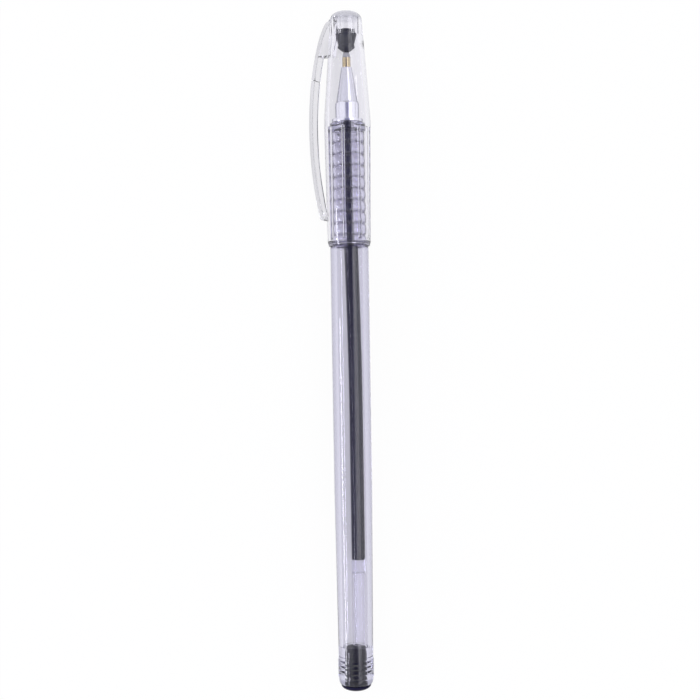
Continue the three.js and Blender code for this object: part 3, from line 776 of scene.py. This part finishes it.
def barrel():
    bore_front = COLLAR_FRONT - COLLAR_WALL
    body = [(TAIL_RADIUS, TAIL_END + TAIL_ROUND_LENGTH + RING_COUNT * RING_PITCH)]
    body += [(WAIST_RADIUS, WAIST_T), (BODY_RADIUS, SHOULDER)]
    grip = grip_profile()
    shoulder = rounded([body[-2], body[-1], grip[0]], SHOULDER_ROUND)[1:-1]
    collar = rounded([
        grip[-1],
        (COLLAR_RADIUS, COLLAR_REAR + COLLAR_STEP),
        (COLLAR_RADIUS, COLLAR_FRONT - COLLAR_STEP),
        (COLLAR_RADIUS - COLLAR_STEP, COLLAR_FRONT),
        (SPIGOT_RADIUS, COLLAR_FRONT),
        (SPIGOT_RADIUS, SPIGOT_END),
        (SPIGOT_BORE_RADIUS, SPIGOT_END),
        (SPIGOT_BORE_RADIUS, bore_front),
        (BORE_RADIUS, bore_front - BORE_TAPER_LENGTH),
        (BORE_RADIUS, BORE_END),
        (PLUG_BORE_RADIUS, BORE_END),
        (PLUG_BORE_RADIUS, TAIL_END),
    ], BARREL_CORNER)
    profile = tail_profile()[:-1] + body[:-1] + shoulder + grip + collar[1:]
    piece = turned("barrel_clear", profile)
    finished(piece, barrel_plastic, "barrel", "clear_barrel_plastic", "barrel")


def point_tip():
    seat_radius = BALL_RADIUS + BALL_GAP
    seat = BALL_CENTRE - BALL_RADIUS - BALL_GAP
    profile = rounded([
        (TIP_CHANNEL_RADIUS, TIP_SHANK_REAR),
        (TIP_SHANK_RADIUS, TIP_SHANK_REAR),
        (TIP_SHANK_RADIUS, TIP_SHOULDER),
        (TIP_RADIUS, TIP_SHOULDER),
        (TIP_RADIUS, TIP_CONE_START),
        (TIP_RIM_OUTER, TIP_RIM),
        (TIP_RIM_INNER, TIP_RIM),
        (seat_radius, BALL_CENTRE),
        (seat_radius, seat),
        (TIP_CHANNEL_RADIUS, seat),
    ], TIP_CORNER)
    piece = turned("point_tip_turned", profile, TIP_SIDES)
    finished(piece, tip_metal, "barrel", "tip_brass", "point_tip")


def writing_ball():
    profile = []
    for i in range(BALL_STEPS + 1):
        angle = math.pi * i / BALL_STEPS
        radius = BALL_RADIUS * math.sin(angle) if 0 < i < BALL_STEPS else 0
        profile.append((radius, BALL_CENTRE - BALL_RADIUS * math.cos(angle)))
    piece = turned("writing_ball_ground", profile, BALL_SIDES)
    finished(piece, ball_metal, "ball", "ball_steel", "writing_ball")


def tip_holder():
    profile = [(HOLDER_BORE_RADIUS, HOLDER_SPIGOT_REAR)]
    profile += straight(HOLDER_SPIGOT_RADIUS, HOLDER_SPIGOT_REAR, HOLDER_REAR)
    profile += straight(HOLDER_RADIUS, HOLDER_REAR, HOLDER_SHOULDER)
    profile += [(HOLDER_FRONT_RADIUS, HOLDER_FRONT), (TIP_SOCKET_RADIUS, HOLDER_FRONT)]
    profile += [(TIP_SOCKET_RADIUS, INK_FRONT)]
    profile += straight(HOLDER_BORE_RADIUS, INK_FRONT, HOLDER_SPIGOT_REAR)[:-1]
    piece = turned("tip_holder_moulded", profile, bend=refill_shift)
    finished(piece, refill_plastic, "barrel", "milky_plastic", "tip_holder")


def refill_tube():
    profile = straight(TUBE_RADIUS, TUBE_REAR, TUBE_FRONT)
    profile += straight(TUBE_BORE_RADIUS, TUBE_FRONT, TUBE_REAR)
    piece = turned("refill_tube_drawn", profile, bend=refill_shift)
    finished(piece, refill_plastic, "barrel", "milky_plastic", "refill_tube")


def ink_column():
    """The ink wets the tube, so its skin runs a hair into the tube's wall."""
    wide = TUBE_BORE_RADIUS + WETTED
    narrow = HOLDER_BORE_RADIUS + WETTED
    profile = [(0, INK_REAR + MENISCUS), (wide / 2, INK_REAR + MENISCUS / 3)]
    profile += straight(wide, INK_REAR, INK_STEP)
    profile += straight(narrow, INK_STEP, INK_FRONT)
    profile += [(0, INK_FRONT)]
    piece = turned("ink_column_wet", profile, bend=refill_shift)
    finished(piece, ink, "barrel", "black_ink", "ink_column")


def ink_follower():
    radius = TUBE_BORE_RADIUS + WETTED
    profile = [(0, FOLLOWER_REAR + MENISCUS), (radius / 2, FOLLOWER_REAR + MENISCUS / 2)]
    profile += straight(radius, FOLLOWER_REAR, FOLLOWER_FRONT)
    profile += [(0, FOLLOWER_FRONT)]
    piece = turned("ink_follower_grease", profile, bend=refill_shift)
    finished(piece, grease, "barrel", "follower_grease", "ink_follower")


# The nose cone, which unscrews.


def nose_cone():
    profile = rounded([
        (NOSE_BORE_RADIUS, NOSE_REAR),
        (FLANGE_RADIUS, NOSE_REAR),
        (FLANGE_RADIUS, FLANGE_FRONT),
        (NOSE_CYLINDER_RADIUS, FLANGE_FRONT),
        (NOSE_CYLINDER_RADIUS, NOSE_CYLINDER_END),
        (NOSE_CONE_RADIUS, NOSE_CONE_START),
        (NOSE_FRONT_RADIUS, NOSE_FRONT),
        (NOSE_HOLE_RADIUS, NOSE_FRONT),
        (NOSE_BORE_RADIUS, NOSE_INNER_START),
    ], NOSE_CORNER)
    piece = turned("nose_cone_turned", profile)
    finished(piece, nose_metal, "nose", "bright_metal", "nose_cone")


# Pieces of the cap.


def cap_seal():
    profile = rounded([
        (0, SEAL_POCKET_END),
        (BALL_RADIUS, SEAL_POCKET_END),
        (SEAL_POCKET_RADIUS, SEAL_BOTTOM),
        (SEAL_POCKET_RADIUS + SEAL_LIP, SEAL_BOTTOM),
        (SEAL_SKIRT_RADIUS, SEAL_SKIRT_START),
        (SEAL_WAIST_RADIUS, SEAL_WAIST_START),
        (SEAL_RADIUS, SEAL_BAND_START),
        (SEAL_RADIUS, SEAL_BAND_END),
        (SEAL_TOP_RADIUS, SEAL_TOP),
        (0, SEAL_TOP),
    ], SEAL_CORNER)
    piece = turned("cap_seal_moulded", profile)
    finished(piece, seal_plastic, "cap", "seal_plastic", "cap_seal")


def cap_radius(t):
    """The cap's outer radius on its sleeve or its cone."""
    if t < CAP_STEP:
        return mix(CAP_MOUTH_RADIUS, CAP_RADIUS, (t - CAP_LIP_END) / (CAP_STEP - CAP_LIP_END))
    cone_start = CAP_STEP + CAP_ROUND_LENGTH
    share = (t - cone_start) / (CROWN_TOP - CROWN_ROUND_LENGTH - cone_start)
    return mix(CAP_RADIUS - CAP_ROUND_DROP, CROWN_RADIUS, share)


def rib_share(angle, count, phase, radius, width):
    """How far a point round the bore stands on one of its ribs, from 0 to 1."""
    pitch = 2 * math.pi / count
    off = (angle - phase + pitch / 2) % pitch - pitch / 2
    u = min(1, abs(off) * radius / (width / 2))
    return 1 - u ** RIB_POWER


def cap_relief(radius, t, angle):
    """Ribs inside the cap: eight along the sleeve and six under the crown."""
    if GRIP_RIB_INNER < radius <= CAP_STEP_BORE + RIB_EASE and GRIP_RIB_START < t < CAP_STEP:
        end = smooth_share(GRIP_RIB_START, GRIP_RIB_START + GRIP_RIB_END, t)
        share = rib_share(angle, GRIP_RIB_COUNT, GRIP_RIB_PHASE, radius, GRIP_RIB_WIDTH)
        return radius - (radius - GRIP_RIB_INNER) * share * end
    if CROWN_RIB_INNER < radius <= SOCKET_RADIUS + RIB_EASE and CROWN_RIB_START < t <= CEILING:
        end = smooth_share(CROWN_RIB_START, CROWN_RIB_START + CROWN_RIB_END, t)
        share = rib_share(angle, CROWN_RIB_COUNT, CROWN_RIB_PHASE, radius, CROWN_RIB_WIDTH)
        return radius - (radius - CROWN_RIB_INNER) * share * end
    return radius


def fine(from_point, to_point):
    """Points between two ends of a stretch, the ends left out."""
    count = max(1, math.ceil(abs(to_point[1] - from_point[1]) / RIB_ROW_STEP))
    made = []
    for i in range(1, count):
        radius = mix(from_point[0], to_point[0], i / count)
        made.append((radius, mix(from_point[1], to_point[1], i / count)))
    return made


def bead():
    """The ring inside the cap's mouth that holds it on the barrel."""
    points = []
    for i in range(CAP_BEAD_STEPS + 1):
        angle = math.pi * i / CAP_BEAD_STEPS
        radius = CAP_MOUTH_BORE - CAP_BEAD_HEIGHT * math.sin(angle)
        points.append((radius, mix(CAP_BEAD_START, CAP_BEAD_END, i / CAP_BEAD_STEPS)))
    return points


def cap_outside():
    """The cap's outer line, from the middle of its crown round the lip and into its bore."""
    cone_start = CAP_STEP + CAP_ROUND_LENGTH
    crown = (CROWN_RADIUS, CROWN_TOP - CROWN_ROUND_LENGTH)
    points = [
        (0, CROWN_TOP - GATE_DEPTH),
        (GATE_RADIUS * GATE_ROUND, CROWN_TOP - GATE_DEPTH * GATE_ROUND),
        (GATE_RADIUS, CROWN_TOP),
    ]
    points += quarter(crown, (CROWN_LAND_RADIUS, CROWN_TOP), CROWN_STEPS)[::-1]
    for i in range(CAP_ROUND_STEPS, -1, -1):
        share = i / CAP_ROUND_STEPS
        t = mix(CAP_STEP, cone_start, share)
        points.append((CAP_RADIUS - CAP_ROUND_DROP * share * share, t))
    lip = [
        points[-1],
        (CAP_MOUTH_RADIUS, CAP_LIP_END),
        (CAP_MOUTH_RADIUS - CAP_LIP_TAPER, CAP_MOUTH),
        (CAP_MOUTH_BORE, CAP_MOUTH),
        (CAP_MOUTH_BORE, CAP_BEAD_START),
    ]
    return points + rounded(lip, CAP_LIP_CORNER)[1:-1]


def socket_swell():
    """The smooth widening of the bore below the seal."""
    mouth = cap_radius(SOCKET_START) - CAP_CONE_WALL
    points = []
    for i in range(SOCKET_STEPS + 1):
        t = mix(SOCKET_START, SOCKET_END, i / SOCKET_STEPS)
        share = smooth_share(SOCKET_START, SOCKET_END, t)
        points.append((mix(mouth, SOCKET_RADIUS, share), t))
    return points


def cap_inside():
    """The cap's bore from its bead to its ceiling, cut finely where the ribs rise out of it."""
    cone_start = CAP_STEP + CAP_ROUND_LENGTH
    cone_bore = min(CAP_UPPER_BORE, cap_radius(cone_start) - CAP_CONE_WALL)
    sleeve = (CAP_MOUTH_BORE, GRIP_RIB_START - GRIP_RIB_LEAD)
    risen_radius = mix(CAP_MOUTH_BORE, CAP_STEP_BORE, GRIP_RIB_FLARE)
    risen = (risen_radius, GRIP_RIB_START + 2 * GRIP_RIB_END)
    socket = (SOCKET_RADIUS, CROWN_RIB_START - CROWN_RIB_LEAD)
    socket_risen = (SOCKET_RADIUS, CROWN_RIB_START + 2 * CROWN_RIB_END)
    points = bead() + fine(sleeve, risen)
    points += [risen, (CAP_STEP_BORE, CAP_STEP - CAP_STEP_EASE)]
    points += [(CAP_STEP_BORE, CAP_STEP), (CAP_UPPER_BORE, CAP_STEP), (cone_bore, cone_start)]
    points += socket_swell()
    points += [socket] + fine(socket, socket_risen)
    points += [socket_risen, (SOCKET_RADIUS, CEILING), (0, CEILING)]
    return points


class ClipLine:
    """The clip's outer line: one arch from its root at the crown down to its foot."""

    def __init__(self):
        start_x = CROWN_RADIUS + CLIP_FOOT_GAP
        foot_x = cap_radius(CLIP_FOOT) + CLIP_FOOT_GAP + 2 * CLIP_FOOT_RADIUS
        self.points = [
            Vector((start_x, CLIP_TOP)),
            Vector((start_x + CLIP_ARCH_START[0], CLIP_TOP - CLIP_ARCH_START[1])),
            Vector((start_x + CLIP_ARCH_PEAK[0], CLIP_TOP - CLIP_ARCH_PEAK[1])),
            Vector((foot_x, CLIP_FOOT)),
        ]

    def at(self, share):
        a, b, c, d = self.points
        rest = 1 - share
        return a * rest**3 + b * 3 * rest**2 * share + c * 3 * rest * share**2 + d * share**3

    def along(self, share):
        a, b, c, d = self.points
        rest = 1 - share
        return ((b - a) * rest**2 + (c - b) * 2 * rest * share + (d - c) * share**2).normalized()

    def share_at(self, t):
        """The share of the line at which it reaches a station, found by halving."""
        low, high = 0.0, 1.0
        for _ in range(SEARCH_STEPS):
            middle = (low + high) / 2
            if self.at(middle).y > t:
                low = middle
            else:
                high = middle
        return low

    def face(self, start, end, depth, steps):
        """Points on the line between two shares, set inwards by a depth."""
        made = []
        for i in range(steps + 1):
            share = mix(start, end, i / steps)
            point, way = self.at(share), self.along(share)
            made.append((point.x + way.y * depth, point.y - way.x * depth))
        return made


def clip_point(x, t, across):
    """A point of the clip, from its own plane and its width."""
    aside = -x * math.cos(CLIP_DROP) + across * math.sin(CLIP_DROP)
    up = -x * math.sin(CLIP_DROP) - across * math.cos(CLIP_DROP)
    return place(aside, t, up)


def clip_width(t):
    """The clip's width, which shrinks a little towards its foot."""
    foot = CLIP_FOOT - 2 * CLIP_FOOT_RADIUS
    return mix(CLIP_FOOT_WIDTH, CLIP_WIDTH, (t - foot) / (CLIP_SPLIT - foot))


def round_edges(slab, cross_edges):
    """Rounds a slab's edges. Without cross_edges, only the edges along the pen are rounded."""
    weights = slab.data.attributes.new("bevel_weight_edge", "FLOAT", "EDGE")
    for line, weight in zip(slab.data.edges, weights.data):
        start, end = (slab.data.vertices[i].co for i in line.vertices)
        along = abs(end.y - start.y) > CLIP_EDGE_ALONG * (end - start).length
        weight.value = 1 if along else 0
    edge = slab.modifiers.new("edge", "BEVEL")
    edge.width = CLIP_EDGE_ROUND * MM
    edge.segments = CLIP_EDGE_STEPS
    edge.limit_method = "ANGLE" if cross_edges else "WEIGHT"
    edge.angle_limit = CLIP_EDGE_ANGLE
    edge.use_clamp_overlap = True
    applied(slab)


def clip_slab(name, outline, cross_edges):
    """A slab of the clip from an outline in its plane."""
    count = len(outline)
    points = []
    for side in (-0.5, 0.5):
        points += [clip_point(x, t, side * clip_width(t)) for x, t in outline]
    faces = [list(range(count)), list(range(count, 2 * count))]
    for i in range(count):
        j = (i + 1) % count
        faces.append([i, j, j + count, i + count])
    slab = object_from(name, points, faces)
    round_edges(slab, cross_edges)
    return slab


def clip_root():
    """The clip's stub, which the cap's moulding carries."""
    line = ClipLine()
    split = line.share_at(CLIP_SPLIT)
    top = CLIP_TOP + CLIP_THICKNESS / 2
    outline = [(CLIP_EMBED, top), (CROWN_RADIUS - CLIP_TUCK, top)]
    outline += line.face(0, split, 0, ROOT_STEPS)
    inner = line.face(line.share_at(CLIP_ROOT_END), split, CLIP_THICKNESS, ROOT_STEPS)
    outline += inner[:0:-1]
    crotch = [inner[1], (inner[0][0], CLIP_ROOT_END), (CLIP_EMBED_LOW, CLIP_ROOT_END)]
    outline += rounded(crotch, CLIP_CROTCH_ROUND)[1:]
    outline += [(CLIP_EMBED_LOW, SOCKET_START), (CLIP_EMBED, SOCKET_END)]
    return clip_slab("clip_root", outline, True)


def cap_shell():
    shell = turned("cap_shell_clear", cap_outside() + cap_inside(), CAP_SIDES, relief=cap_relief)
    boolean(shell, clip_root(), "UNION")
    finished(shell, cap_plastic, "cap", "clear_cap_plastic", "cap_shell")


def pocket_clip():
    """The clip's arm, which bends away from the cap."""
    line = ClipLine()
    start = line.share_at(CLIP_SPLIT - CLIP_PARTING)
    foot_x = line.at(1).x - CLIP_FOOT_RADIUS
    outline = line.face(start, 1, 0, CLIP_STEPS)
    for i in range(1, FOOT_STEPS):
        angle = -CLIP_FOOT_TURN * i / FOOT_STEPS
        x = foot_x + CLIP_FOOT_RADIUS * math.cos(angle)
        outline.append((x, CLIP_FOOT + CLIP_FOOT_RADIUS * math.sin(angle)))
    end = line.share_at(CLIP_FOOT + CLIP_FOOT_RISE)
    outline += line.face(start, end, CLIP_THICKNESS, CLIP_STEPS)[::-1]
    arm = clip_slab("pocket_clip_arm", outline, False)
    finished(arm, cap_plastic, "clip", "clear_cap_plastic", "pocket_clip")


# The stage.


def floor():
    """A surface that shows as plain white with a share of its lit and shaded colour, which keeps
    the pen's shadow. The share is small to the camera, and larger in what the pen mirrors or
    lets through."""
    half = FLOOR_SIZE * MM / 2
    corners = [(-half, -half, 0), (half, -half, 0), (half, half, 0), (-half, half, 0)]
    plane = object_from("floor", corners, [[0, 1, 2, 3]])
    finish = Finish("floor_white", FLOOR_COLOUR, FLOOR_ROUGHNESS)
    finish.vary_colour(FLOOR_GRAIN, FLOOR_COLOUR, tuple(c * FLOOR_COLOUR_LOW for c in FLOOR_COLOUR))
    path = finish.nodes.new("ShaderNodeLightPath")
    glow = finish.nodes.new("ShaderNodeEmission")
    seen = finish.nodes.new("ShaderNodeMix")
    seen.inputs["B"].default_value = FLOOR_SHOWN
    either = finish.nodes.new("ShaderNodeMixShader")
    mirrored, let_through = path.outputs["Is Glossy Ray"], path.outputs["Is Transmission Ray"]
    beyond = finish.math("MAXIMUM", mirrored, let_through)
    finish.links.new(finish.math("MULTIPLY", beyond, FLOOR_SHOWN_THROUGH), seen.inputs["A"])
    finish.links.new(path.outputs["Is Camera Ray"], seen.inputs["Factor"])
    finish.links.new(seen.outputs["Result"], either.inputs["Fac"])
    finish.links.new(finish.shader.outputs["BSDF"], either.inputs[1])
    finish.links.new(glow.outputs["Emission"], either.inputs[2])
    finish.links.new(either.outputs["Shader"], finish.output.inputs["Surface"])
    plane.data.materials.append(finish.material)


def world():
    """A room with a dim ceiling, white where the camera looks straight at it."""
    made = bpy.data.worlds.new("white_room")
    made.use_nodes = True
    nodes, links = made.node_tree.nodes, made.node_tree.links
    way = nodes.new("ShaderNodeTexCoord").outputs["Generated"]
    split = nodes.new("ShaderNodeSeparateXYZ")
    ramp = nodes.new("ShaderNodeValToRGB")
    stops = ramp.color_ramp.elements
    while len(stops) < len(ROOM):
        stops.new(1)
    for stop, (height, colour) in zip(stops, ROOM.items()):
        stop.position = height
        stop.color = (*colour, 1)
    links.new(way, split.inputs["Vector"])
    links.new(split.outputs["Z"], ramp.inputs["Fac"])
    shown = nodes.new("ShaderNodeMix")
    shown.data_type = "RGBA"
    shown.inputs["B"].default_value = (1, 1, 1, 1)
    links.new(nodes.new("ShaderNodeLightPath").outputs["Is Camera Ray"], shown.inputs["Factor"])
    links.new(ramp.outputs["Color"], shown.inputs["A"])
    links.new(shown.outputs["Result"], nodes["Background"].inputs["Color"])
    bpy.context.scene.world = made


def lamp(name, angle, distance, along, width, length, brightness):
    """A soft box that faces the pen. Its power follows from how bright its face is."""
    data = bpy.data.lights.new(name, "AREA")
    data.shape = "RECTANGLE"
    data.size, data.size_y = width * MM, length * MM
    data.energy = brightness * math.pi * data.size * data.size_y
    data.color = LAMP_COLOUR
    turn = math.radians(angle)
    obj = bpy.data.objects.new(name, data)
    obj.location = place(distance * math.sin(turn), CAMERA_T + along, distance * math.cos(turn))
    obj.rotation_euler = (0, turn, 0)
    bpy.context.scene.collection.objects.link(obj)


def camera():
    data = bpy.data.cameras.new("camera")
    data.lens = CAMERA_LENS
    data.sensor_width = SENSOR
    obj = bpy.data.objects.new("camera", data)
    obj.location = place(CAMERA_ASIDE, CAMERA_T, CAMERA_HEIGHT)
    obj.rotation_euler = (0, 0, -CAMERA_LEAN)
    bpy.context.scene.collection.objects.link(obj)
    bpy.context.scene.camera = obj


camera()
world()
floor()
for lamp_name, lamp_facts in LAMPS.items():
    lamp(lamp_name, *lamp_facts)

tail_plug()
barrel()
point_tip()
tip_holder()
refill_tube()
ink_column()
ink_follower()
nose_cone()
writing_ball()
cap_seal()
cap_shell()
pocket_clip()

scene = bpy.context.scene
scene.view_settings.view_transform = "Standard"
scene.cycles.max_bounces = LIGHT_BOUNCES
scene.cycles.transmission_bounces = LIGHT_BOUNCES
scene.cycles.transparent_max_bounces = LIGHT_BOUNCES
scene.cycles.caustics_reflective = False
scene.cycles.caustics_refractive = False
